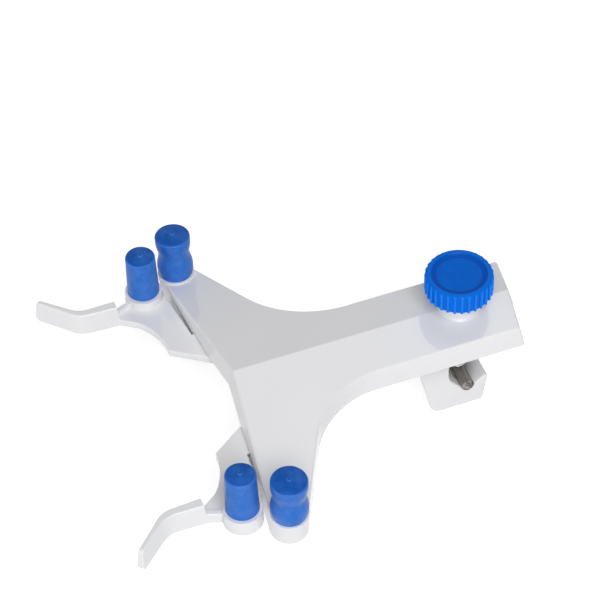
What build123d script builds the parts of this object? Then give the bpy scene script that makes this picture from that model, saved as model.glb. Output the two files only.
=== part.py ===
"""Single burette clamp for a laboratory stand.

Origin: on the ridge of the casting, where the clamp screw's axis crosses it.
+X runs along the stem to its free end, +Y to the upper pair of jaws, +Z up through the knob.
In use the stand rod and the burette both lie along Y. Millimetres and degrees throughout.
"""
from build123d import *
import os
from math import asin, cos, degrees, hypot, radians, sin, tan

# ---- fits -------------------------------------------------------------------------------------
press_gap = 0.02          # radial, between pieces that stay together
running_gap = 0.05        # radial, between pieces that turn or slide
face_gap = 0.2            # between faces that slide past each other
touch_gap = 0.3           # between moving pieces that rest against each other

# ---- casting: two sloping halves that meet on a ridge along X ------------------------------------
roof_slope = 8.2
roof_thickness = 2.4
wall = 2.2
skirt_depth = 8.4         # square to the roof
stem_half_width = 17.4    # measured down the slope, like every outline size of the casting
stem_foot_spread = 2.6    # how far the foot of a skirt stands out beyond its top edge
stem_end_x = 20.2
stem_end_skew = 9.1
end_foot_spread = 2.2
end_corner_radius = 1.0
crotch_radius = 36.0      # hollow curve between the stem and an arm
tip_x = -90.0
tip_s = 63.0
tip_radius = 6.45
tip_foot_spread = 0.7
front_sweep = 6.9         # how far the front edge leans back from the Y axis
front_foot_sweep = 5.7
rear_sweep = 26.5
edge_round = 0.8

# ---- front wall ------------------------------------------------------------------------------------
front_wall_depth = 6.5    # below the roof, over the middle
slot_half_length = 31.5   # the levers pass below the front wall between these two shoulders
slot_gap = 0.6            # between the foot of that wall and the levers

# ---- levers: sizes for the upper one, and the lower one is its mirror image --------------------------
lever_top = -9.6
lever_thickness = 3.2
pivot_x = -81.5
pivot_y = 19.5
hub_radius = 7.7
jaw_x = -105.0
jaw_y = 55.9
jaw_boss_radius = 7.0
jaw_boss_foot_radius = 7.3
jaw_boss_height = 3.5
jaw_boss_stand_out = 0.1  # of the boss's side beyond the plate
lever_corner = (-105.0, 26.4)
lever_hollow = (-106.5, 35.6)
lever_knee = (-111.2, 43.6)
lever_corner_round = 1.2
lever_knee_round = 5.0
lever_step_x = -94.4      # shoulder of the lever that stops against the front wall
lever_step = 4.0
lever_edge_round = 0.5
web_height = 1.6          # of the low web between the tab and the grip boss
web_width = 2.2
web_edge_round = 0.4
boss_meeting_angle = 10.0 # where the plate's outer edge runs into the boss

# ---- thumb tabs ----------------------------------------------------------------------------------------
tab_top = -3.3
tab_root = (-117.2, 50.4)
tab_bend = (-131.8, 50.6)
tab_tip = (-144.9, 63.3)
tab_foot_root = 5.2       # thicknesses of the tab at its foot and at its top edge
tab_foot_tip = 3.0
tab_top_root = 3.9
tab_top_tip = 1.8
tab_draft = 0.5           # how far the ends lean in over half the tab's height
tab_bend_radius = 9.0
tab_edge_round = 0.6
tab_corner_round = 1.8    # of the free end, seen from its broad side

# ---- pivots ------------------------------------------------------------------------------------------------
pivot_boss_radius = 4.7
shoulder_radius = 3.0
bush_wall = 1.0
pivot_thread_radius = 2.0
pivot_thread_length = 4.6
pivot_head_radius = 5.2
pivot_head_height = 2.8
pivot_head_chamfer = 0.5
pivot_socket = 4.0        # across flats
pivot_socket_depth = 1.7
washer_radius = 5.8
washer_thickness = 0.8

# ---- return springs --------------------------------------------------------------------------------------
spring_wire = 0.8
spring_turns = 2.25
spring_pitch = 0.86
tang_reach = 1.2          # how deep each bent end stands in its hole
tang_gap = 0.15

# ---- grips and their pins ------------------------------------------------------------------------------
fixed_grip_lean = 3.2     # outward, away from the middle of the clamp
collar_radius = 7.0
collar_height = 1.2
tip_boss_depth = 7.4
fixed_grip_height = 18.7
fixed_grip_foot_radius = 6.3
fixed_grip_bulge_radius = 6.85
fixed_grip_bulge_height = 4.6
fixed_grip_waist_radius = 5.85
fixed_grip_waist_height = 10.6
fixed_grip_top_radius = 6.66
fixed_grip_rim_height = 3.4
jaw_grip_height = 18.4
jaw_grip_foot_radius = 6.05
jaw_grip_top_radius = 5.6
grip_edge_round = 0.8
grip_cone_height = 0.7
grip_nub_radius = 0.9
grip_nub_height = 0.25
grip_pin_radius = 2.5
grip_pin_rise = 14.0      # above the face that the grip stands on
grip_pin_chamfer = 0.6

# ---- rod hook ----------------------------------------------------------------------------------------------
hook_half_width = 10.5
hook_front_x = -24.0      # front face where it leaves the roof
hook_front_taper = 13.0
hook_back_x = -7.4        # face that stands beside the rod
hook_bottom = -45.2
hook_front_radius = 4.5
hook_back_radius = 2.0
hook_edge_round = 0.9
lip_x = 8.8
lip_taper = 8.0
lip_round = 1.0
valley_z = -37.2
front_flank = 50.0        # slopes of the V, up from the horizontal
rear_flank = 34.0
valley_radius = 1.8
front_flank_top = -30.0

# ---- screw neck ----------------------------------------------------------------------------------------------
neck_top = 8.0
neck_foot_radius = 7.4
neck_top_radius = 6.8
neck_foot_fillet = 1.5
inner_boss_radius = 8.2
inner_boss_bottom = -8.0

# ---- clamp screw and pressure bar --------------------------------------------------------------------
screw_radius = 4.0
screw_end_chamfer = 0.7
bar_radius = 2.4
bar_end_chamfer = 0.4
bar_overhang = 1.3        # at each side of the hook
bar_seat_gap = 0.2
tip_pin_radius = 1.3
tip_head_radius = 1.8
tip_head_depth = 0.5
tip_head_sink = 0.5       # of the riveted head, inside the bar

# ---- knob ------------------------------------------------------------------------------------------------------
knob_height = 8.4
knob_radius = 12.8        # over the ribs
rib_count = 30
rib_radius = 0.56
rib_rise = 0.7
knob_rim_round = 0.9      # top edge between the ribs
rib_crown_round = 1.6     # upper ends of the ribs
knob_ring_width = 2.3     # from the dish out to the knob's full radius
dish_slope_width = 2.1
dish_depth = 0.9
knob_hub_radius = 7.0
knob_rim_wall = 2.4       # below, between the ribs and the hollow
knob_hollow_depth = 4.6
knob_socket_depth = 5.0

# ---- worked out from the above ----------------------------------------------------------------------------------
lever_bottom = lever_top - lever_thickness
plate_boss_radius = jaw_boss_foot_radius - jaw_boss_stand_out
jaw_face = lever_top + jaw_boss_height
bore_radius = shoulder_radius + running_gap
bush_radius = bore_radius + bush_wall
pivot_face = lever_top + face_gap
head_face = lever_bottom - face_gap - washer_thickness
coil_radius = pivot_boss_radius + touch_gap + spring_wire / 2
coil_foot = lever_top + touch_gap + spring_wire / 2
coil_top = coil_foot + spring_turns * spring_pitch
foot_tang_angle = 90 - 360 * spring_turns
web_start = (tab_root[0] - 1.2, tab_root[1] + tab_foot_root / 2 - 0.9)
web_end = (jaw_x - plate_boss_radius * cos(radians(boss_meeting_angle)),
           jaw_y - plate_boss_radius * sin(radians(boss_meeting_angle)))
grip_hole_radius = grip_pin_radius + press_gap
screw_bore_radius = screw_radius + running_gap
seat_radius = bar_radius + bar_seat_gap
v_spread = sin(radians(front_flank + rear_flank))
valley_x = -seat_radius * (cos(radians(rear_flank)) - cos(radians(front_flank))) / v_spread
bar_z = valley_z + seat_radius * (sin(radians(front_flank)) + sin(radians(rear_flank))) / v_spread
knob_bottom = neck_top + touch_gap
hook_top = -roof_thickness + 0.2
standing = (Align.CENTER, Align.CENTER, Align.MIN)
sides = {"upper": 1, "lower": -1}


# ---- shapes used all over ---------------------------------------------------------------------------------------
def turned(profile):
    """Solid of revolution about Z, from its (radius, height) corners."""
    return revolve(Plane.XZ * make_face(Polyline(*profile, close=True)), Axis.Z)


def post(radius, bottom, top):
    """Round bar about Z between two heights."""
    return Pos(0, 0, bottom) * Cylinder(radius, top - bottom, align=standing)


def across(point):
    """The same point on the other side of the ridge."""
    return Vector(point.X, -point.Y)


def nearest(face, point):
    """The corner of a flat face that is nearest a point."""
    return face.vertices().sort_by_distance(Vector(point.X, point.Y))[0]


# ---- casting -------------------------------------------------------------------------------------------------------
def roof_plane(side):
    """Top face of one half: local x along the stem, local y along the slope."""
    slope = radians(roof_slope)
    return Plane((0, 0, 0), x_dir=(1, 0, 0), z_dir=(0, side * sin(slope), cos(slope)))


def roof_z(y):
    """Height of the roof's top face at a distance y from the ridge."""
    return -abs(y) * tan(radians(roof_slope))


def keep_side(shape, side):
    """The part of a shape on one side of the ridge."""
    half = Box(600, 300, 300, align=(Align.CENTER, Align.MIN, Align.CENTER))
    return shape & (half if side > 0 else mirror(half, about=Plane.XZ))


def casting_outline(inset=0.0, foot=False):
    """Plan of the casting on a roof plane, at the roof or at the foot of the skirts."""
    spread = 1.0 if foot else 0.0
    tip_r = tip_radius + spread * tip_foot_spread - inset
    half_w = stem_half_width + spread * stem_foot_spread - inset
    end_x = stem_end_x + spread * end_foot_spread - inset
    bend_r = crotch_radius - spread * stem_foot_spread + inset
    front = radians(front_foot_sweep if foot else front_sweep)
    rear = radians(rear_sweep)
    half_turn = (radians(90) - rear) / 2
    tip = Vector(tip_x, tip_s)
    front_touch = tip + Vector(-cos(front), -sin(front)) * tip_r
    crown = tip + Vector(0, tip_r)
    rear_touch = tip + Vector(cos(rear), sin(rear)) * tip_r
    vertex = Vector(front_touch.X + front_touch.Y * tan(front), 0)
    corner = Vector(rear_touch.X + (rear_touch.Y - half_w) * tan(rear), half_w)
    reach = bend_r * tan(half_turn)
    bend_start = corner - Vector(sin(rear), -cos(rear)) * reach
    bend_middle = corner + Vector(reach, bend_r) - Vector(sin(half_turn), cos(half_turn)) * bend_r
    bend_end = corner + Vector(reach, 0)
    lean = half_w * tan(radians(stem_end_skew))
    far_end = Vector(end_x + lean, half_w)
    near_end = Vector(end_x - lean, -half_w)
    face = make_face([
        Line(vertex, front_touch),
        ThreePointArc(front_touch, crown, rear_touch),
        Line(rear_touch, bend_start),
        ThreePointArc(bend_start, bend_middle, bend_end),
        Line(bend_end, far_end),
        Line(far_end, near_end),
        Line(near_end, across(bend_end)),
        ThreePointArc(across(bend_end), across(bend_middle), across(bend_start)),
        Line(across(bend_start), across(rear_touch)),
        ThreePointArc(across(rear_touch), across(crown), across(front_touch)),
        Line(across(front_touch), vertex),
    ])
    return fillet([nearest(face, far_end), nearest(face, near_end)], end_corner_radius)


def casting_block(inset, top, foot):
    """Solid between the outline at one depth below the roof and the foot outline at another."""
    halves = []
    for side in (1, -1):
        upper = roof_plane(side).offset(-top) * casting_outline(inset)
        lower = roof_plane(side).offset(-foot) * casting_outline(inset, foot=True)
        halves.append(keep_side(loft([upper, lower], ruled=True), side))
    return halves[0] + halves[1]


def front_relief():
    """Cut that shortens the front wall: along the roof over the middle, level above the levers."""
    reach = tip_radius + wall + 12
    strip = Box(2 * reach, 2 * slot_half_length, 12, align=(Align.CENTER, Align.CENTER, Align.MAX))
    along = []
    for side in (1, -1):
        sloping = roof_plane(side).offset(-front_wall_depth) * Pos(tip_x - reach / 2, 0, 0) * strip
        along.append(keep_side(sloping, side))
    level = Pos(tip_x - reach / 2, 0, lever_top + slot_gap) * strip
    limits = Pos(tip_x, 0, 0) * Box(60, 2 * slot_half_length, 60)
    return (along[0] + along[1] + level) & limits


def fixed_grip_place(side):
    """Axis of a fixed grip, on the roof at the arm's tip and leaning outward."""
    foot = roof_plane(side).from_local_coords(Vector(tip_x, side * tip_s, 0))
    return Pos(foot.X, foot.Y, foot.Z) * Rot(-side * fixed_grip_lean, 0, 0)


def pivot_place(side):
    return Pos(pivot_x, side * pivot_y, 0)


def tang_place(side, angle):
    """Where a bent end of a return spring stands, beside a pivot."""
    turn = radians(angle)
    return pivot_place(side) * Pos(coil_radius * cos(turn), side * coil_radius * sin(turn), 0)


def hook_profile(y):
    """Side outline of the rod hook on the plane at y, with the V that the rod lies in; local y is height."""
    front_x = hook_front_x + (y + hook_half_width) * tan(radians(stem_end_skew))
    lip_z = valley_z + (lip_x - valley_x) * tan(radians(rear_flank))
    flank_x = valley_x - (front_flank_top - valley_z) / tan(radians(front_flank))
    front_foot = Vector(front_x + (hook_top - hook_bottom) * tan(radians(hook_front_taper)), hook_bottom)
    back_foot = Vector(lip_x - (lip_z - hook_bottom) * tan(radians(lip_taper)), hook_bottom)
    lip = Vector(lip_x, lip_z)
    valley = Vector(valley_x, valley_z)
    face = make_face(Polyline(
        (front_x, hook_top),
        front_foot,
        back_foot,
        lip,
        valley,
        (flank_x, front_flank_top),
        (hook_back_x, front_flank_top + 3),
        (hook_back_x, hook_top),
        close=True))
    for corner, radius in ((front_foot, hook_front_radius), (back_foot, hook_back_radius),
                           (lip, lip_round), (valley, valley_radius)):
        face = fillet(nearest(face, corner), radius)
    return Plane.XZ.offset(-y) * face


def is_hook_rim(edge):
    """True for the outline edges of the hook's two side faces, below the roof."""
    middle = edge.center()
    return abs(abs(middle.Y) - hook_half_width) < 0.01 and middle.Z < hook_top - 1


def rod_hook():
    """Block under the stem, open to the rear for the stand rod; its front is as oblique as the stem's end."""
    block = loft([hook_profile(-hook_half_width), hook_profile(hook_half_width)], ruled=True)
    return fillet([e for e in block.edges() if is_hook_rim(e)], hook_edge_round)


def screw_boss():
    """Raised neck under the knob, filleted into the roof, and the boss below where the thread runs."""
    neck = turned([(0, -1.8), (neck_foot_radius, -1.8), (neck_top_radius, neck_top), (0, neck_top)])
    boss = post(inner_boss_radius, inner_boss_bottom, -roof_thickness + 0.6)
    for side in (1, -1):
        pad = roof_plane(side).offset(-1.5) * post(neck_foot_radius + 3, 0, 1.5)
        half = keep_side(neck + pad, side)
        boss += fillet([e for e in half.edges() if is_neck_foot(e)], neck_foot_fillet)
    return boss


def is_roof_rim(edge):
    """True for the edges round the roof's top face, and false for the ridge."""
    middle = edge.position_at(0.5)
    return abs(middle.Z - roof_z(middle.Y)) < 0.01 and abs(middle.Y) > 0.05


def is_neck_foot(edge):
    """True for the edges where the screw neck stands on the roof."""
    middle = edge.position_at(0.5)
    off_axis = abs(hypot(middle.X, middle.Y) - neck_foot_radius)
    return off_axis < 0.4 and abs(middle.Z - roof_z(middle.Y)) < 0.3


def casting():
    """The white body: sloping roof, skirts, arms, screw neck, rod hook and pivot bosses."""
    body = casting_block(0, 0, skirt_depth)
    body = fillet([e for e in body.edges() if is_roof_rim(e)], edge_round)
    body -= casting_block(wall, roof_thickness, skirt_depth + 1.0)
    body -= front_relief()
    body += screw_boss() + rod_hook()
    body -= post(screw_bore_radius, inner_boss_bottom - 1, neck_top + 1)
    roof_underside = roof_z(pivot_y + coil_radius) - roof_thickness / cos(radians(roof_slope))
    for side in (1, -1):
        grip_axis = fixed_grip_place(side)
        body += grip_axis * post(collar_radius, -1.0, collar_height)
        body += grip_axis * post(tip_radius - wall / 2, -tip_boss_depth, -0.5)
        body -= grip_axis * post(grip_hole_radius, -tip_boss_depth - 1, collar_height + 1)
        body += pivot_place(side) * post(pivot_boss_radius, pivot_face, roof_z(pivot_y) - 1.2)
        thread_end = pivot_face + pivot_thread_length + 0.4
        body -= pivot_place(side) * post(pivot_thread_radius + press_gap, pivot_face - 1, thread_end)
        hole = post(spring_wire / 2 + tang_gap, roof_underside - 1, roof_underside + tang_reach + tang_gap)
        body -= tang_place(side, 90) * hole
    return body


# ---- levers --------------------------------------------------------------------------------------------------------
def touch_point(start, centre, radius, turn):
    """Where a line from start touches a circle: turn 1 passes on its left, -1 on its right."""
    gap = Vector(*centre) - Vector(*start)
    lean = turn * degrees(asin(radius / gap.length))
    return Vector(*start) + gap.rotate(Axis.Z, lean) * cos(radians(lean))


def lever_plan():
    """Flat outline of the upper lever, seen from above."""
    hub = (pivot_x, pivot_y)
    boss = (jaw_x, jaw_y)
    shoulder_y = slot_half_length - touch_gap
    step_outer = (lever_step_x, shoulder_y)
    step_inner = (lever_step_x + lever_step, shoulder_y)
    front_hub = touch_point(lever_corner, hub, hub_radius, -1)
    rear_hub = touch_point(step_inner, hub, hub_radius, 1)
    rear_boss = touch_point(step_outer, boss, plate_boss_radius, -1)
    front_boss = Vector(*web_end)
    boss_crown = Vector(*boss) + Vector(0, plate_boss_radius)
    hub_back = Vector(*hub) + Vector(1, 0).rotate(Axis.Z, -20) * hub_radius
    inner_root = (web_start[0], 2 * tab_root[1] - web_start[1])
    face = make_face([
        Line(front_hub, lever_corner),
        ThreePointArc(lever_corner, lever_hollow, lever_knee),
        Line(lever_knee, inner_root),
        Line(inner_root, web_start),
        Line(web_start, front_boss),
        ThreePointArc(front_boss, boss_crown, rear_boss),
        Line(rear_boss, step_outer),
        Line(step_outer, step_inner),
        Line(step_inner, rear_hub),
        ThreePointArc(rear_hub, hub_back, front_hub),
    ])
    face = fillet(nearest(face, Vector(*lever_corner)), lever_corner_round)
    return fillet(nearest(face, Vector(*lever_knee)), lever_knee_round)


def tab_outline(root_thickness, tip_thickness, reach):
    """Plan of a thumb tab: straight out from the lever, then bent outward to its tip."""
    bend = Vector(*tab_bend)
    outward = (Vector(*tab_tip) - bend).normalized()
    root = Vector(*tab_root) + Vector(reach, 0)
    tip = Vector(*tab_tip) + outward * reach
    along = (bend - root).normalized()
    root_side = along.rotate(Axis.Z, 90) * root_thickness / 2
    tip_side = outward.rotate(Axis.Z, 90) * tip_thickness / 2
    half_turn = radians(along.get_angle(outward) / 2)
    miter = (root_side + tip_side).normalized() * (root_thickness + tip_thickness) / 4 / cos(half_turn)
    face = make_face(Polyline(
        root + root_side, bend + miter, tip + tip_side,
        tip - tip_side, bend - miter, root - root_side, close=True))
    return fillet([nearest(face, bend + miter), nearest(face, bend - miter)], tab_bend_radius)


def is_tab_end(edge):
    """True for the upright edges at the free end of a thumb tab."""
    upright = abs((edge @ 1).Z - (edge @ 0).Z) > 5
    return upright and (edge.center() - Vector(*tab_tip, edge.center().Z)).length < tab_foot_tip


def is_tab_corner(edge):
    """True for the two short level edges at the free end of a thumb tab."""
    level = abs((edge @ 1).Z - (edge @ 0).Z) < 0.01
    at_end = (edge.center() - Vector(*tab_tip, edge.center().Z)).length < tab_draft + 0.5
    return level and at_end and edge.length < tab_foot_tip + 0.5


def thumb_tab():
    """Upstanding tab that the fingers squeeze, thicker at its foot than at its edge.

    The rounding of its free end runs on along the top and foot, because they are tangent there.
    """
    foot = Plane.XY.offset(lever_bottom) * tab_outline(tab_foot_root, tab_foot_tip, tab_draft)
    crest = Plane.XY.offset(tab_top) * tab_outline(tab_top_root, tab_top_tip, -tab_draft)
    tab = loft([foot, crest], ruled=True)
    tab = fillet([e for e in tab.edges() if is_tab_corner(e)], tab_corner_round)
    return fillet([e for e in tab.edges() if is_tab_end(e)], tab_edge_round)


def web():
    """Low web along the lever's outer edge, from the thumb tab to the grip boss."""
    start = Vector(*web_start)
    along = (Vector(*web_end) - start).normalized()
    inward = along.rotate(Axis.Z, -90) * web_width
    end = start + along * (jaw_x - start.X)
    face = make_face(Polyline(start, end, end + inward, start + inward, close=True))
    solid = extrude(Plane.XY.offset(lever_bottom + 1) * face, lever_thickness - 1 + web_height)
    crest = [e for e in solid.edges() if e.center().Z > lever_top + web_height - 0.01 and e.length > web_width + 1]
    return fillet(crest, web_edge_round)


def lever():
    """The upper lever: plate, hub, grip boss and thumb tab, drilled for its pins and spring."""
    plate = extrude(Plane.XY.offset(lever_bottom) * lever_plan(), lever_thickness)
    plate = fillet(plate.edges().filter_by(Axis.Z, reverse=True), lever_edge_round)
    boss = turned([(0, lever_bottom + 0.5), (jaw_boss_foot_radius, lever_bottom + 0.5),
                   (jaw_boss_foot_radius, lever_top), (jaw_boss_radius, jaw_face), (0, jaw_face)])
    solid = plate + Pos(jaw_x, jaw_y, 0) * boss + thumb_tab() + web()
    solid -= pivot_place(1) * post(bush_radius + press_gap, lever_bottom - 1, lever_top + 1)
    solid -= Pos(jaw_x, jaw_y, 0) * post(grip_hole_radius, lever_bottom - 1, jaw_face + 1)
    hole = post(spring_wire / 2 + tang_gap, lever_top - tang_reach - tang_gap, lever_top + 1)
    return solid - tang_place(1, foot_tang_angle) * hole


# ---- pieces on the pivots -----------------------------------------------------------------------------------------------
def pivot_bush():
    """Plain sleeve pressed into the lever's hub."""
    return post(bush_radius, lever_bottom, lever_top) - post(bore_radius, lever_bottom - 1, lever_top + 1)


def pivot_washer():
    """Thrust washer between the lever and the screw's head."""
    bottom = head_face + press_gap
    top = bottom + washer_thickness
    return post(washer_radius, bottom, top) - post(bore_radius, bottom - 1, top + 1)


def pivot_screw():
    """Shoulder screw put in from below: head, shoulder that the bush turns on, and thread."""
    head_foot = head_face - pivot_head_height
    thread_end = pivot_face + pivot_thread_length
    rim = pivot_head_radius - pivot_head_chamfer
    screw = turned([
        (0, head_foot), (rim, head_foot), (pivot_head_radius, head_foot + pivot_head_chamfer),
        (pivot_head_radius, head_face), (shoulder_radius, head_face), (shoulder_radius, pivot_face - press_gap),
        (pivot_thread_radius, pivot_face - press_gap), (pivot_thread_radius, thread_end - 0.4),
        (pivot_thread_radius - 0.4, thread_end), (0, thread_end)])
    socket = RegularPolygon(pivot_socket / 2, 6, major_radius=False)
    return screw - extrude(Plane.XY.offset(head_foot) * socket, pivot_socket_depth)


def return_spring():
    """Torsion coil round the pivot boss, with one end bent up and the other bent down."""
    roof_underside = roof_z(pivot_y + coil_radius) - roof_thickness / cos(radians(roof_slope))
    path = Pos(0, 0, coil_foot) * Helix(spring_pitch, coil_top - coil_foot, coil_radius)
    section = Plane(origin=path @ 0, z_dir=path % 0) * Circle(spring_wire / 2)
    coil = sweep(section, path=path, is_frenet=True)
    spring = Rot(0, 0, foot_tang_angle) * coil
    foot_turn = radians(foot_tang_angle)
    foot_spot = Pos(coil_radius * cos(foot_turn), coil_radius * sin(foot_turn), 0)
    top_spot = Pos(0, coil_radius, 0)
    spring += foot_spot * post(spring_wire / 2, lever_top - tang_reach, coil_foot)
    spring += top_spot * post(spring_wire / 2, coil_top, roof_underside + tang_reach)
    spring += foot_spot * Pos(0, 0, coil_foot) * Sphere(spring_wire / 2)
    return spring + top_spot * Pos(0, 0, coil_top) * Sphere(spring_wire / 2)


# ---- grips ------------------------------------------------------------------------------------------------------------------
def grip(side, foot_radius, top_radius, height):
    """Soft moulded cap on its pin: a side line, a shallow cone on top with a small nub."""
    corner = Vector(top_radius, height - grip_edge_round)
    shoulder = Vector(top_radius - grip_edge_round, height)
    edge_middle = Vector(top_radius - grip_edge_round * 0.29, height - grip_edge_round * 0.29)
    cone_top = height + grip_cone_height
    nub_top = cone_top + grip_nub_height
    hole_top = grip_pin_rise + touch_gap
    face = make_face([
        *side.edges(),
        ThreePointArc(corner, edge_middle, shoulder),
        Polyline(shoulder, (grip_nub_radius, cone_top), (grip_nub_radius * 0.7, nub_top), (0, nub_top),
                 (0, hole_top), (grip_hole_radius, hole_top), (grip_hole_radius, 0), (foot_radius, 0)),
    ])
    return revolve(Plane.XZ * face, Axis.Z)


def fixed_grip():
    """Waisted grip, so that the burette centres itself on it; a plain rim runs round its top."""
    rim_top = fixed_grip_height - grip_edge_round
    rim_foot = fixed_grip_height - fixed_grip_rim_height
    curve = Spline(
        (fixed_grip_foot_radius, 0),
        (fixed_grip_bulge_radius, fixed_grip_bulge_height),
        (fixed_grip_waist_radius, fixed_grip_waist_height),
        (fixed_grip_top_radius, rim_foot),
        tangents=[(0.25, 1), (0.1, 1)])
    return grip(curve + Line((fixed_grip_top_radius, rim_foot), (fixed_grip_top_radius, rim_top)),
                fixed_grip_foot_radius, fixed_grip_top_radius, fixed_grip_height)


def jaw_grip():
    """Straight grip, tapered a little toward its top, with its foot edge eased."""
    foot = Line((jaw_grip_foot_radius - 0.3, 0), (jaw_grip_foot_radius, 0.5))
    rise = Line((jaw_grip_foot_radius, 0.5), (jaw_grip_top_radius, jaw_grip_height - grip_edge_round))
    return grip(foot + rise, jaw_grip_foot_radius - 0.3, jaw_grip_top_radius, jaw_grip_height)


def grip_pin(bottom, top):
    """Steel pin pressed in from below, chamfered at both ends."""
    tip = grip_pin_radius - grip_pin_chamfer
    return turned([
        (0, bottom), (tip, bottom), (grip_pin_radius, bottom + grip_pin_chamfer),
        (grip_pin_radius, top - grip_pin_chamfer), (tip, top), (0, top)])


# ---- knob, screw and pressure bar ------------------------------------------------------------------------------------------
def knob_blank(radius, top_round):
    """Turned shape of the knob with its dished top, for one outer radius."""
    knob_top = knob_bottom + knob_height
    edge = (radius, knob_top - top_round)
    edge_middle = (radius - top_round * 0.293, knob_top - top_round * 0.293)
    lip = (knob_radius - knob_ring_width, knob_top)
    slope = (lip[0] - dish_slope_width * 0.35, knob_top - dish_depth * 0.65)
    dish = (lip[0] - dish_slope_width, knob_top - dish_depth)
    outline = make_face([
        Polyline(dish, (0, dish[1]), (0, knob_bottom), (radius, knob_bottom), edge),
        ThreePointArc(edge, edge_middle, (radius - top_round, knob_top)),
        Line((radius - top_round, knob_top), lip),
        ThreePointArc(lip, slope, dish),
    ])
    return revolve(Plane.XZ * outline, Axis.Z)


def clamp_knob():
    """Knob with narrow ribs that fade into its top edge, and a hub moulded round the screw."""
    section = Circle(knob_radius - rib_rise)
    section += PolarLocations(knob_radius - rib_radius, rib_count) * Circle(rib_radius)
    ribbed = extrude(Plane.XY.offset(knob_bottom) * section, knob_height)
    body = ribbed & knob_blank(knob_radius, rib_crown_round)
    body += knob_blank(knob_radius - rib_rise, knob_rim_round)
    hollow = post(knob_radius - knob_rim_wall, knob_bottom - 1, knob_bottom + knob_hollow_depth)
    hollow -= post(knob_hub_radius, knob_bottom - 2, knob_bottom + knob_hollow_depth + 1)
    socket = post(screw_radius + press_gap, knob_bottom - 1, knob_bottom + knob_socket_depth + press_gap)
    return body - hollow - socket


def clamp_screw():
    """Steel screw: its head end is fast in the knob, and a riveted pin below carries the bar."""
    foot = bar_z + bar_radius + face_gap
    top = knob_bottom + knob_socket_depth
    head_z = bar_z - bar_radius + tip_head_sink
    return turned([
        (0, head_z), (tip_head_radius, head_z), (tip_pin_radius, head_z + tip_head_depth),
        (tip_pin_radius, foot), (screw_radius - screw_end_chamfer, foot),
        (screw_radius, foot + screw_end_chamfer), (screw_radius, top - 0.4), (screw_radius - 0.4, top), (0, top)])


def pressure_bar():
    """Round bar lying across the hook, bored and countersunk for the screw's pin."""
    half_length = hook_half_width + bar_overhang
    bar = Pos(0, 0, bar_z) * Rot(90, 0, 0) * Cylinder(bar_radius, 2 * half_length)
    ends = [e for e in bar.edges() if abs(abs(e.center().Y) - half_length) < 0.01]
    bar = chamfer(ends, bar_end_chamfer)
    head_z = bar_z - bar_radius + tip_head_sink
    wide = tip_head_radius + running_gap
    narrow = tip_pin_radius + running_gap
    hole = turned([(0, head_z - 1), (wide, head_z - 1), (wide, head_z + running_gap),
                   (narrow, head_z + tip_head_depth + running_gap), (narrow, bar_z + 4), (0, bar_z + 4)])
    return bar - hole


# ---- the pieces ------------------------------------------------------------------------------------------------------------------
def both_sides(name, upper):
    """A piece for the upper side and its mirror image for the lower side."""
    return {f"upper_{name}": upper, f"lower_{name}": mirror(upper, about=Plane.XZ)}


def all_pieces():
    pieces = {"body_casting": casting()}
    for name, side in sides.items():
        collar = fixed_grip_place(side) * Pos(0, 0, collar_height)
        pieces[f"{name}_fixed_grip"] = collar * fixed_grip()
        pieces[f"{name}_fixed_pin"] = collar * grip_pin(-collar_height - tip_boss_depth, grip_pin_rise)
    jaw = Pos(jaw_x, jaw_y, jaw_face)
    pieces |= both_sides("lever", lever())
    pieces |= both_sides("jaw_grip", jaw * grip_on_face(jaw_grip()))
    pieces |= both_sides("jaw_pin", jaw * grip_pin(lever_bottom - jaw_face, grip_pin_rise))
    pieces |= both_sides("pivot_screw", pivot_place(1) * pivot_screw())
    pieces |= both_sides("pivot_washer", pivot_place(1) * pivot_washer())
    pieces |= both_sides("pivot_bush", pivot_place(1) * pivot_bush())
    pieces |= both_sides("return_spring", pivot_place(1) * return_spring())
    pieces["clamp_knob"] = clamp_knob()
    pieces["clamp_screw"] = clamp_screw()
    pieces["pressure_bar"] = pressure_bar()
    return pieces


def grip_on_face(cap):
    """A grip stands a hair above the face that carries it."""
    return Pos(0, 0, press_gap) * cap


os.makedirs("parts", exist_ok=True)
for piece_name, piece in all_pieces().items():
    export_step(piece, f"parts/{piece_name}.step")
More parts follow.
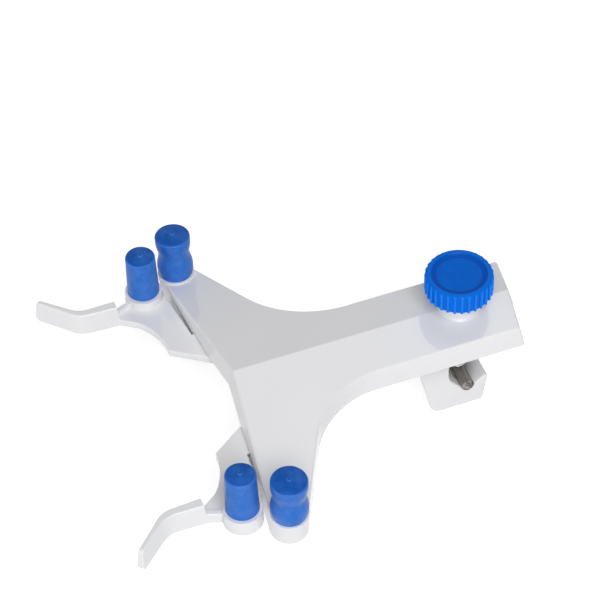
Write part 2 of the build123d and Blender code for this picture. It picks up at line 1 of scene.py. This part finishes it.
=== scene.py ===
import bmesh
import bpy
from math import cos, pi, radians, sin
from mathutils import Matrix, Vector


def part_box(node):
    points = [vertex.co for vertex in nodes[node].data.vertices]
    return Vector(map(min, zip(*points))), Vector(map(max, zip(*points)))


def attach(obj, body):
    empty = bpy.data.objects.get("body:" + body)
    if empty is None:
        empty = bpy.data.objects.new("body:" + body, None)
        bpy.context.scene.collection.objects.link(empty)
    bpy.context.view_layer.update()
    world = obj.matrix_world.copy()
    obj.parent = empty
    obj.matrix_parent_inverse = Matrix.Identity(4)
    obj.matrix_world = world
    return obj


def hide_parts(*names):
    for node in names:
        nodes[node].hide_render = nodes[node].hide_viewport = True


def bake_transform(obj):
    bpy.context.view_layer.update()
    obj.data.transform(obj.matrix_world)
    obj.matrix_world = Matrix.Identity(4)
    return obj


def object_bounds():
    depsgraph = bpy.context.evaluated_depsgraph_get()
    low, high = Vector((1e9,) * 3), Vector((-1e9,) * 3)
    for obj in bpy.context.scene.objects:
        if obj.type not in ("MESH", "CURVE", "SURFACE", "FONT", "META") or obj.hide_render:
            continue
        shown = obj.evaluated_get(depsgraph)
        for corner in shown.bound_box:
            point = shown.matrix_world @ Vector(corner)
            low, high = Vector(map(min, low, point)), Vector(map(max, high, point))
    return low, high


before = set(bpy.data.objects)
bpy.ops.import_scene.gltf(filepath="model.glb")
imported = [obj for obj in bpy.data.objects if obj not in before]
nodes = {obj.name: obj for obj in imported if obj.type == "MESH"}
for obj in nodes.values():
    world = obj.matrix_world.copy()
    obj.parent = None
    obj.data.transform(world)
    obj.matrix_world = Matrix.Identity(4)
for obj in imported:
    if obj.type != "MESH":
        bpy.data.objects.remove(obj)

cad_box = [list(corner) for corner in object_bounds()]
scene = bpy.context.scene


# ---- Camera ---------------------------------------------------------------------------------
# A long lens above and in front of the jaws' lower side, looking back over the stem to the
# knob, so that both pairs of grips and the open rear of the rod hook are seen.
camera_data = bpy.data.cameras.new("catalogue_camera")
camera_data.lens = 144
camera_data.sensor_width = 36
camera_data.clip_start = 0.05
camera_data.clip_end = 20
camera = bpy.data.objects.new("catalogue_camera", camera_data)
camera.location = (-0.2508, -0.5527, 0.6520)
camera.rotation_euler = (radians(43.04), radians(1.51), radians(-20.49))
scene.collection.objects.link(camera)
scene.camera = camera


# ---- Studio ---------------------------------------------------------------------------------
# White laminate table in white surroundings. Soft boxes in front and beside the jaws light
# upright faces a little more than the roof, a small high one beyond the knob gives the roof
# its sheen, and the table keeps a faint shadow.
scene.view_settings.view_transform = "Standard"
soft_light = 0.17
plain_white = 1.0
table_reach = 6
table_drop = 0.01
laminate_grey = 0.8
laminate_glow = 0.6


def white_where_seen(tree, unseen, seen, out):
    """Shows one shader to the camera, in gloss and through glass, and another to soft light."""
    path = tree.nodes.new("ShaderNodeLightPath")
    straight = path.outputs["Is Camera Ray"]
    for ray in ("Is Glossy Ray", "Is Transmission Ray"):
        either = tree.nodes.new("ShaderNodeMath")
        either.operation = "ADD"
        either.use_clamp = True
        tree.links.new(straight, either.inputs[0])
        tree.links.new(path.outputs[ray], either.inputs[1])
        straight = either.outputs["Value"]
    chooser = tree.nodes.new("ShaderNodeMixShader")
    tree.links.new(straight, chooser.inputs["Fac"])
    tree.links.new(unseen, chooser.inputs[1])
    tree.links.new(seen, chooser.inputs[2])
    tree.links.new(chooser.outputs["Shader"], out.inputs["Surface"])


def sky_light(sky, strength):
    """White light of the surroundings."""
    light = sky.nodes.new("ShaderNodeBackground")
    light.inputs["Color"].default_value = (1.0, 1.0, 1.0, 1.0)
    light.inputs["Strength"].default_value = strength
    return light.outputs["Background"]


world = bpy.data.worlds.new("white_surroundings")
scene.world = world
world.use_nodes = True
sky = world.node_tree
sky.nodes.clear()
white_where_seen(sky, sky_light(sky, soft_light), sky_light(sky, plain_white),
                 sky.nodes.new("ShaderNodeOutputWorld"))

table_corners = [(across * table_reach, along * table_reach, 0)
                 for across, along in ((-1, -1), (1, -1), (1, 1), (-1, 1))]
table_mesh = bpy.data.meshes.new("white_table")
table_mesh.from_pydata(table_corners, [], [(0, 1, 2, 3)])
table = bpy.data.objects.new("white_table", table_mesh)
table.location.z = cad_box[0][2] - table_drop
scene.collection.objects.link(table)

laminate = bpy.data.materials.new("white_laminate")
laminate.use_nodes = True
top = laminate.node_tree
top.nodes.clear()
top_matt = top.nodes.new("ShaderNodeBsdfDiffuse")
top_matt.inputs["Color"].default_value = (laminate_grey, laminate_grey, laminate_grey, 1.0)
top_glow = top.nodes.new("ShaderNodeEmission")
top_glow.inputs["Strength"].default_value = laminate_glow
top_sum = top.nodes.new("ShaderNodeAddShader")
top.links.new(top_matt.outputs["BSDF"], top_sum.inputs[0])
top.links.new(top_glow.outputs["Emission"], top_sum.inputs[1])
white_where_seen(top, top_matt.outputs["BSDF"], top_sum.outputs["Shader"],
                 top.nodes.new("ShaderNodeOutputMaterial"))
table_mesh.materials.append(laminate)


def soft_box(name, place, size, power):
    """Square soft box that faces the middle of the clamp."""
    lamp_data = bpy.data.lights.new(name, "AREA")
    lamp_data.size = size
    lamp_data.energy = power
    lamp = bpy.data.objects.new(name, lamp_data)
    lamp.location = place
    middle = Vector(((cad_box[0][0] + cad_box[1][0]) / 2, 0, 0))
    lamp.rotation_euler = (Vector(place) - middle).to_track_quat("Z", "Y").to_euler()
    scene.collection.objects.link(lamp)


soft_box("front_box", (-0.2, -1.1, 1.3), 1.0, 20.2)
soft_box("low_box", (-0.1, -1.6, 0.1), 1.0, 5.7)
soft_box("jaw_box", (-1.6, -0.6, 0.0), 1.0, 5)
soft_box("side_box", (-1.6, 0.3, 0.3), 1.0, 3)
soft_box("roof_box", (0.33, 0.48, 1.16), 0.6, 1.4)


# ---- Body casting ---------------------------------------------------------------------------
# Die-cast aluminium alloy body with a roofed back, stove enamelled glossy white. The rod rubs
# the enamel off in the V of the hook, down to the grey metal. Painted shade darkens the gap by
# the levers, and a painted shadow lies on the flank beside the pressure bar.
enamel_colours = (0.80, 0.80, 0.815), (0.82, 0.82, 0.83)
enamel_gloss = 0.03, 0.055
orange_peel = 0.000002
bare_metal = (0.13, 0.12, 0.115), (0.98, 0.97, 0.95)
bare_metallic = 0.12
chip_edge = 0.42, 0.50
scratch_edge = 0.42, 0.56
# Painted shadow on the flank of the hook beside the pressure bar.
flank_shadow_colour = (0.06, 0.055, 0.055)
# Painted shade in the gap by the levers, and how strongly it shows.
gap_shade_colour = (0.20, 0.19, 0.20)
gap_shade_strength = 0.5, 0.9

# Low side, high side and fade of each zone, in metres.
worn_seat = {"X": (-0.0086, -0.0020, 0.0005),
             "Z": (-0.0370, -0.0265, 0.0005),
             "Y": (-0.0062, 0.0100, 0.0008)}
flank_shadow_zone = {"X": (0.0005, 0.00425, 0.00235),
                 "Z": (-0.0370, -0.0220, 0.0015),
                 "Y": (-0.0045, 0.0110, 0.0045)}
# Painted shade: the foot of the wall by the levers is darkened where the gap lies in shade.
jaw_wall = {"X": (-0.100, -0.0865, 0.0005)}
gap_heights = (-0.0200, -0.0121, 0.0003)
gap_reach = (0.008, 0.052, 0.002)
arm_droop = 0.055
jaw_side = -0.7, -0.5


def new_finish(name):
    """Empty node material: returns it, its tree and its main shader."""
    material = bpy.data.materials.new(name)
    material.use_nodes = True
    tree = material.node_tree
    return material, tree, tree.nodes["Principled BSDF"]


def place_from(tree, centre=(0, 0, 0), stretch=(1, 1, 1)):
    """The object's own coordinates, measured from a point and stretched along the axes."""
    place = tree.nodes.new("ShaderNodeTexCoord")
    mapping = tree.nodes.new("ShaderNodeMapping")
    mapping.vector_type = "TEXTURE"
    mapping.inputs["Location"].default_value = centre
    mapping.inputs["Scale"].default_value = stretch
    tree.links.new(place.outputs["Object"], mapping.inputs["Vector"])
    return mapping.outputs["Vector"]


def noise(tree, place, ripples, detail, roughness=0.5):
    """Cloudy noise over a place, with so many ripples per metre."""
    cloud = tree.nodes.new("ShaderNodeTexNoise")
    cloud.inputs["Scale"].default_value = ripples
    cloud.inputs["Detail"].default_value = detail
    cloud.inputs["Roughness"].default_value = roughness
    tree.links.new(place, cloud.inputs["Vector"])
    return cloud.outputs["Fac"]


def spread(tree, value, low, high, start=0.3, stop=0.7):
    """A value between start and stop, brought to the range from low to high."""
    span = tree.nodes.new("ShaderNodeMapRange")
    span.inputs["From Min"].default_value = start
    span.inputs["From Max"].default_value = stop
    span.inputs["To Min"].default_value = low
    span.inputs["To Max"].default_value = high
    tree.links.new(value, span.inputs["Value"])
    return span.outputs["Result"]


def times(tree, first, second):
    """Product of two values."""
    product = tree.nodes.new("ShaderNodeMath")
    product.operation = "MULTIPLY"
    tree.links.new(first, product.inputs[0])
    tree.links.new(second, product.inputs[1])
    return product.outputs["Value"]


def between(tree, share, first, second):
    """Colour from first to second, by a share from 0 to 1; each is a colour or a socket."""
    blend = tree.nodes.new("ShaderNodeMix")
    blend.data_type = "RGBA"
    for socket, colour in (("A", first), ("B", second)):
        if isinstance(colour, tuple):
            blend.inputs[socket].default_value = (*colour, 1.0)
        else:
            tree.links.new(colour, blend.inputs[socket])
    tree.links.new(share, blend.inputs["Factor"])
    return blend.outputs["Result"]


def relief(tree, shader, height, depth):
    """Bump on a shader; depth in metres."""
    bump = tree.nodes.new("ShaderNodeBump")
    bump.inputs["Distance"].default_value = depth
    tree.links.new(height, bump.inputs["Height"])
    tree.links.new(bump.outputs["Normal"], shader.inputs["Normal"])


def along_axis(tree, place, axis):
    """One coordinate of a place."""
    split = tree.nodes.new("ShaderNodeSeparateXYZ")
    tree.links.new(place, split.inputs["Vector"])
    return split.outputs[axis]


def facing(tree, axis):
    """How far a face looks along one of the object's own axes, from -1 to 1."""
    return along_axis(tree, tree.nodes.new("ShaderNodeTexCoord").outputs["Normal"], axis)


def within(tree, value, low, high, fade):
    """1 where a value lies between low and high, fading to 0 at both."""
    rise = spread(tree, value, 0, 1, low - fade, low + fade)
    fall = spread(tree, value, 1, 0, high - fade, high + fade)
    return times(tree, rise, fall)


def zone(tree, place, limits):
    """1 inside a zone that limits gives by low side, high side and fade along each axis."""
    bands = [within(tree, along_axis(tree, place, axis), *sides) for axis, sides in limits.items()]
    share = bands[0]
    for band in bands[1:]:
        share = times(tree, share, band)
    return share


def dress(node, material):
    """Gives a solid of the frame its finish."""
    if not nodes[node].material_slots:
        nodes[node].data.materials.append(material)
    for slot in nodes[node].material_slots:
        slot.material = material


def white_enamel(name):
    """Glossy enamel with a faint orange peel: returns its material, tree, shader and colour."""
    material, tree, shader = new_finish(name)
    place = place_from(tree)
    clouds = spread(tree, noise(tree, place, ripples=25, detail=2), 0, 1)
    colour = between(tree, clouds, *enamel_colours)
    tree.links.new(colour, shader.inputs["Base Color"])
    gloss = spread(tree, noise(tree, place, ripples=120, detail=3), *enamel_gloss)
    tree.links.new(gloss, shader.inputs["Roughness"])
    relief(tree, shader, noise(tree, place, ripples=500, detail=1), orange_peel)
    return material, tree, shader, colour


body_enamel, tree, shader, white = white_enamel("white_enamel_with_worn_seat")
place = place_from(tree)
chips = spread(tree, noise(tree, place, ripples=900, detail=4, roughness=0.65), 0, 1, *chip_edge)
worn = times(tree, zone(tree, place, worn_seat), chips)
scratches = spread(tree, noise(tree, place, ripples=1500, detail=3), 0, 1, *scratch_edge)
bare = between(tree, scratches, *bare_metal)
# Painted shadow: the flank beside the bar darkens to near black.
flank_shadowed = between(tree, zone(tree, place, flank_shadow_zone), white, flank_shadow_colour)

from_middle = tree.nodes.new("ShaderNodeMath")
from_middle.operation = "ABSOLUTE"
tree.links.new(along_axis(tree, place, "Y"), from_middle.inputs[0])
gap_line = tree.nodes.new("ShaderNodeMath")
gap_line.operation = "MULTIPLY_ADD"
gap_line.inputs[1].default_value = -arm_droop
tree.links.new(from_middle.outputs["Value"], gap_line.inputs[0])
tree.links.new(along_axis(tree, place, "Z"), gap_line.inputs[2])
# Painted shade in the gap between the wall and the levers, mottled in strength.
jaw_gap = times(tree, within(tree, gap_line.outputs["Value"], *gap_heights),
                within(tree, from_middle.outputs["Value"], *gap_reach))
looks_to_jaws = spread(tree, facing(tree, "X"), 1, 0, *jaw_side)
wall = times(tree, zone(tree, place, jaw_wall), looks_to_jaws)
gap_shade_mottle = spread(tree, noise(tree, place, ripples=400, detail=3), *gap_shade_strength)
gap_shade = times(tree, times(tree, wall, jaw_gap), gap_shade_mottle)
gap_shaded = between(tree, gap_shade, flank_shadowed, gap_shade_colour)
tree.links.new(between(tree, worn, gap_shaded, bare), shader.inputs["Base Color"])
tree.links.new(spread(tree, worn, 0, bare_metallic, 0, 1), shader.inputs["Metallic"])
dress("body_casting", body_enamel)


# ---- Fixed grips ----------------------------------------------------------------------------
# Waisted caps of soft blue plastic, pressed on turned steel pins that stand in the tips of the
# arms. The sides carry a painted hazy sheen in a lighter blue, and the tops a painted shade.
sheen_side_blue = (0.020, 0.145, 0.56), (0.050, 0.180, 0.60)
shaded_top_blue = (0.002, 0.082, 0.40), (0.018, 0.124, 0.49)
sheen_mottle_edge = 0.35, 0.65
cloud_edge = 0.38, 0.66
top_tilt = 0.80, 0.97
grip_gloss = 0.32, 0.45
grip_shine = 0.15
level_rings = (8, 8, 1)
mould_rings = 0.00002
zinc_colours = (0.42, 0.42, 0.43), (0.58, 0.58, 0.57)
zinc_gloss = 0.22, 0.4
level_marks = (6, 6, 1)
tool_marks = 0.00002


def blue_plastic(name, gloss, shine):
    """Moulded plastic with a cloudy gloss and faint level rings from the mould."""
    material, tree, shader = new_finish(name)
    shader.inputs["Specular IOR Level"].default_value = shine
    place = place_from(tree)
    cloudy = spread(tree, noise(tree, place, ripples=350, detail=3), *gloss)
    tree.links.new(cloudy, shader.inputs["Roughness"])
    rings = noise(tree, place_from(tree, stretch=level_rings), ripples=1400, detail=2)
    relief(tree, shader, rings, mould_rings)
    return material, tree, shader, place


def turned_metal(name, colours, gloss):
    """Turned metal with fine level tool marks."""
    material, tree, shader = new_finish(name)
    shader.inputs["Metallic"].default_value = 1.0
    place = place_from(tree, stretch=level_marks)
    streaks = spread(tree, noise(tree, place, ripples=900, detail=3), 0, 1)
    colour = between(tree, streaks, *colours)
    tree.links.new(colour, shader.inputs["Base Color"])
    cloudy = spread(tree, noise(tree, place_from(tree), ripples=500, detail=3), *gloss)
    tree.links.new(cloudy, shader.inputs["Roughness"])
    relief(tree, shader, noise(tree, place, ripples=2600, detail=2), tool_marks)
    return material


grip_blue, tree, shader, place = blue_plastic("soft_blue_grip", grip_gloss, grip_shine)
sheen_mottle = spread(tree, noise(tree, place, ripples=260, detail=5, roughness=0.6), 0, 1, *sheen_mottle_edge)
top_clouds = noise(tree, place, ripples=170, detail=4, roughness=0.6)
clouds = spread(tree, top_clouds, 0, 1, *cloud_edge)
looks_up = spread(tree, facing(tree, "Z"), 0, 1, *top_tilt)
# Painted light: sides lighter with a painted sheen, tops darker with painted shade.
blue = between(tree, looks_up, between(tree, sheen_mottle, *sheen_side_blue), between(tree, clouds, *shaded_top_blue))
tree.links.new(blue, shader.inputs["Base Color"])

zinc_steel = turned_metal("zinc_plated_steel", zinc_colours, zinc_gloss)
for side in ("upper", "lower"):
    dress(side + "_fixed_pin", zinc_steel)
    dress(side + "_fixed_grip", grip_blue)


# ---- Levers ---------------------------------------------------------------------------------
# Cast levers with a thumb tab, enamelled like the body. Each swings on a brass bush round a
# steel shoulder screw that is put in from below, with a thrust washer at its head. Painted
# shade darkens the faces at the lower lever's step beside the body.
step_shade_colour = (0.30, 0.29, 0.31)
step_corner = (-0.0937, -0.0313, -0.0098)
step_shade_reach = 0.0008, 0.0018
step_tilt = 0.90, 0.97
brass_colours = (0.62, 0.43, 0.16), (0.72, 0.53, 0.22)
brass_gloss = 0.25, 0.4


def distance(tree, place):
    """Distance of a place from the point that it is measured from."""
    length = tree.nodes.new("ShaderNodeVectorMath")
    length.operation = "LENGTH"
    tree.links.new(place, length.inputs[0])
    return length.outputs["Value"]


lever_enamel, tree, shader, white = white_enamel("white_enamel")
# Painted shade: faces near the lower lever's step, other than its top, are darkened.
from_corner = distance(tree, place_from(tree, centre=step_corner))
off_top = spread(tree, facing(tree, "Z"), 1, 0, *step_tilt)
step_shade = times(tree, spread(tree, from_corner, 1, 0, *step_shade_reach), off_top)
tree.links.new(between(tree, step_shade, white, step_shade_colour), shader.inputs["Base Color"])

bush_brass = turned_metal("bush_brass", brass_colours, brass_gloss)
for side in ("upper", "lower"):
    dress(side + "_lever", lever_enamel)
    dress(side + "_pivot_bush", bush_brass)
    dress(side + "_pivot_washer", zinc_steel)
    dress(side + "_pivot_screw", zinc_steel)


# ---- Jaw grips ------------------------------------------------------------------------------
# Straight caps of the same soft blue plastic, pressed on steel pins that stand in the levers.
# They close on the glassware against the fixed grips.
for side in ("upper", "lower"):
    dress(side + "_jaw_pin", zinc_steel)
    dress(side + "_jaw_grip", grip_blue)


# ---- Return springs -------------------------------------------------------------------------
# Torsion springs of drawn wire, wound round the pivot bosses. One end stands in the lever and
# the other in the body, so a spring winds up as its jaw opens.
wire_colours = (0.30, 0.30, 0.31), (0.42, 0.42, 0.42)
wire_gloss = 0.25, 0.4
wire_radius = 0.0004
wire_sides = 12
coil_turns = 2.25
coil_rise = 0.001935
steps_per_turn = 48
lever_end = 0.0019
end_bend = 0.0008
bend_steps = (0.25, 0.5, 0.75)


def skin_rings(name, rings):
    """Smooth piece with its surface over rings of points, closed at both ends."""
    skin = bmesh.new()
    rings = [[skin.verts.new(point) for point in ring] for ring in rings]
    for first, second in zip(rings, rings[1:]):
        for step in range(len(first)):
            after = (step + 1) % len(first)
            skin.faces.new((first[step], first[after], second[after], second[step]))
    skin.faces.new(list(reversed(rings[0])))
    skin.faces.new(rings[-1])
    mesh = bpy.data.meshes.new(name)
    skin.to_mesh(mesh)
    skin.free()
    mesh.shade_smooth()
    piece = bpy.data.objects.new(name, mesh)
    scene.collection.objects.link(piece)
    return piece


def wire_rings(path):
    """Rings of points round the middle line of a wire, without a twist."""
    across = Vector((1, 0, 0))
    rings = []
    for index, point in enumerate(path):
        ahead = path[min(index + 1, len(path) - 1)] - path[max(index - 1, 0)]
        ahead.normalize()
        across = (across - across.dot(ahead) * ahead).normalized()
        beside = ahead.cross(across)
        turns = [2 * pi * step / wire_sides for step in range(wire_sides)]
        rings.append([point + wire_radius * (cos(turn) * across + sin(turn) * beside)
                      for turn in turns])
    return rings


def wire_bend(first, corner, last):
    """Points on the rounding of a bend in the wire."""
    return [first.lerp(corner, share).lerp(corner.lerp(last, share), share)
            for share in bend_steps]


def spring_path(low, high, hand):
    """Middle line of a spring: the lever's end, the coil, then the body's end."""
    middle = (low + high) / 2
    radius = (high[0] - low[0]) / 2 - wire_radius
    foot = low[2] + lever_end
    total = 2 * pi * coil_turns
    coil = []
    for step in range(round(coil_turns * steps_per_turn) + 1):
        turn = total * step / (coil_turns * steps_per_turn)
        coil.append(Vector((middle[0] + radius * cos(turn),
                            middle[1] + hand * radius * sin(turn),
                            foot + coil_rise * turn / total)))
    lever_foot = Vector((coil[0][0], coil[0][1], low[2]))
    below = coil[0] - Vector((0, 0, end_bend))
    above = coil[-1] + Vector((0, 0, end_bend))
    body_top = Vector((above[0], above[1], high[2]))
    return ([lever_foot, below] + wire_bend(below, coil[0], coil[1]) + coil[1:-1]
            + wire_bend(coil[-2], coil[-1], above) + [above, body_top])


spring_wire = turned_metal("drawn_spring_wire", wire_colours, wire_gloss)
for side, hand in (("upper", 1), ("lower", -1)):
    low, high = (Vector(corner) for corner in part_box(side + "_return_spring"))
    spring = skin_rings(side + "_wound_spring", wire_rings(spring_path(low, high, hand)))
    spring.data.materials.append(spring_wire)
    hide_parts(side + "_return_spring")
    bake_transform(spring)


# ---- Clamp screw ----------------------------------------------------------------------------
# M8 steel screw, zinc plated and moulded into the knob. Its rolled thread runs down to a plain
# pin that is riveted through the pressure bar.
screw_low, screw_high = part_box("clamp_screw")
crest_radius = (screw_high[0] - screw_low[0]) / 2
thread_pitch = 0.00125
thread_depth = 0.6134 * thread_pitch
root_radius = crest_radius - thread_depth
root_flat = 0.07
flank_width = 0.33
bar_gap = 0.0002
thread_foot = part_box("pressure_bar")[1][2] + bar_gap
lead_in = 0.0007
top_round = 0.0004
pin_radius = 0.0013
pin_stop = 0.00002
head_radius = 0.0018
head_depth = 0.0005
turn_points = 72
rows_per_turn = 10
turns = [2 * pi * step / turn_points for step in range(turn_points)]


def level_ring(height, radii):
    """Level ring of points round the screw's axis, with a radius for each of the turns."""
    return [(radius * cos(turn), radius * sin(turn), height)
            for turn, radius in zip(turns, radii)]


def thread_radius(height, turn):
    """Radius of the rolled thread, cut by the lead-in cone at its foot and rounded at its top."""
    share = (height / thread_pitch - turn / (2 * pi)) % 1.0
    rise = min(1.0, max(0.0, (abs(share - 0.5) - root_flat) / flank_width))
    radius = root_radius + (crest_radius - root_radius) * rise
    lead = crest_radius - lead_in + (height - thread_foot)
    rounding = crest_radius - top_round + (screw_high[2] - height)
    return min(radius, lead, rounding)


pin = ((screw_low[2], head_radius),
       (screw_low[2] + head_depth, pin_radius),
       (thread_foot - pin_stop, pin_radius))
screw_rings = [level_ring(height, [radius] * turn_points) for height, radius in pin]
thread_length = screw_high[2] - thread_foot
thread_rows = round(thread_length / thread_pitch * rows_per_turn)
for row in range(thread_rows + 1):
    height = thread_foot + thread_length * row / thread_rows
    screw_rings.append(level_ring(height, [thread_radius(height, turn) for turn in turns]))

screw = skin_rings("threaded_clamp_screw", screw_rings)
screw.data.materials.append(zinc_steel)
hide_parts("clamp_screw")
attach(screw, "knob")


# ---- Pressure bar ---------------------------------------------------------------------------
# Length of drawn round steel across the hook, riveted on the screw's pin. It presses the stand
# rod into the V, so it is dull and scuffed. Its side towards the jaws is painted lighter as
# painted light, and its near cut end is painted darker as painted shade, mottled with saw marks.
bar_shaded_side = (0.13, 0.125, 0.12), (0.26, 0.25, 0.24)
bar_lit_side = (0.25, 0.23, 0.215), (0.48, 0.45, 0.42)
shaded_end_colours = (0.085, 0.08, 0.077), (0.36, 0.345, 0.33)
bar_gloss = 0.5, 0.7
lit_side_fade = -0.0010, 0.0018
saw_edge = 0.4, 0.6
end_tilt = -0.7, -0.3
drawn_length = (1, 9, 1)
scuff_depth = 0.00004

bar_steel, tree, shader = new_finish("scuffed_bar_steel")
shader.inputs["Metallic"].default_value = 1.0
along = place_from(tree, stretch=drawn_length)
scuffs = spread(tree, noise(tree, along, ripples=900, detail=4, roughness=0.6), 0, 1)
# Painted light: the bar's side towards the jaws is painted brighter than its far side.
lit_side = spread(tree, along_axis(tree, place_from(tree), "X"), 1, 0, *lit_side_fade)
round_face = between(tree, lit_side, between(tree, scuffs, *bar_shaded_side),
                     between(tree, scuffs, *bar_lit_side))
end_noise = noise(tree, place_from(tree), ripples=700, detail=3)
saw_marks = spread(tree, end_noise, 0, 1, *saw_edge)
# Painted shade: the near cut end, which faces -Y, is painted darker.
shaded_end = spread(tree, facing(tree, "Y"), 1, 0, *end_tilt)
tree.links.new(between(tree, shaded_end, round_face, between(tree, saw_marks, *shaded_end_colours)),
               shader.inputs["Base Color"])
bar_clouds = spread(tree, noise(tree, along, ripples=600, detail=3), *bar_gloss)
tree.links.new(bar_clouds, shader.inputs["Roughness"])
relief(tree, shader, noise(tree, along, ripples=1500, detail=3), scuff_depth)
dress("pressure_bar", bar_steel)


# ---- Knob -----------------------------------------------------------------------------------
# Ribbed knob of harder blue plastic, moulded round the head of the screw. Its colour carries
# painted light: ribs lighter at their crests than their roots, a darker top, a painted highlight
# on the rim of the top and painted shade on the slope down to the floor of the dish.
lit_rib_blue = (0.002, 0.148, 0.70), (0.003, 0.216, 0.91)
shaded_floor_blue = (0.001, 0.120, 0.60), (0.001, 0.138, 0.67)
rim_highlight_blue = (0.002, 0.160, 0.76)
slope_shade_blue = (0.001, 0.086, 0.48)
knob_gloss = 0.26, 0.38
knob_shine = 0.06
flat_stretch = (1, 1, 1e6)
knob_radius, knob_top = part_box("clamp_knob")[1][0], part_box("clamp_knob")[1][2]

# How far in from the knob's radius each band starts and stops, and how far below its top.
rib_band = 0.0007, 0.0004
face_band = 0.0013, 0.0008
rim_highlight_band = 0.0024, 0.0021
slope_shade_band = 0.0044, 0.0024
slope_shade_fade = 0.0002
face_band_depth = 0.0018, 0.0012


def inside(edge, band):
    """Both sides of a band, from how far they lie inside an edge."""
    return [edge - depth for depth in band]


knob_blue, tree, shader, place = blue_plastic("blue_knob_moulding", knob_gloss, knob_shine)
reach = distance(tree, place_from(tree, stretch=flat_stretch))
# Ribs painted lighter at their crests than at their roots, as painted light.
ribs = between(tree, spread(tree, reach, 0, 1, *inside(knob_radius, rib_band)), *lit_rib_blue)
clouds = spread(tree, noise(tree, place, ripples=250, detail=4), 0, 1)
face = between(tree, clouds, *shaded_floor_blue)
# Painted highlight on the rim of the top, then painted shade on the slope into the dish.
rim_highlight = spread(tree, reach, 0, 1, *inside(knob_radius, rim_highlight_band))
face = between(tree, rim_highlight, face, rim_highlight_blue)
slope_shade = within(tree, reach, *inside(knob_radius, slope_shade_band), slope_shade_fade)
face = between(tree, slope_shade, face, slope_shade_blue)
up = along_axis(tree, place, "Z")
near_top = spread(tree, up, 0, 1, *inside(knob_top, face_band_depth))
off_ribs = spread(tree, reach, 1, 0, *inside(knob_radius, face_band))
tree.links.new(between(tree, times(tree, near_top, off_ribs), ribs, face),
               shader.inputs["Base Color"])
dress("clamp_knob", knob_blue)
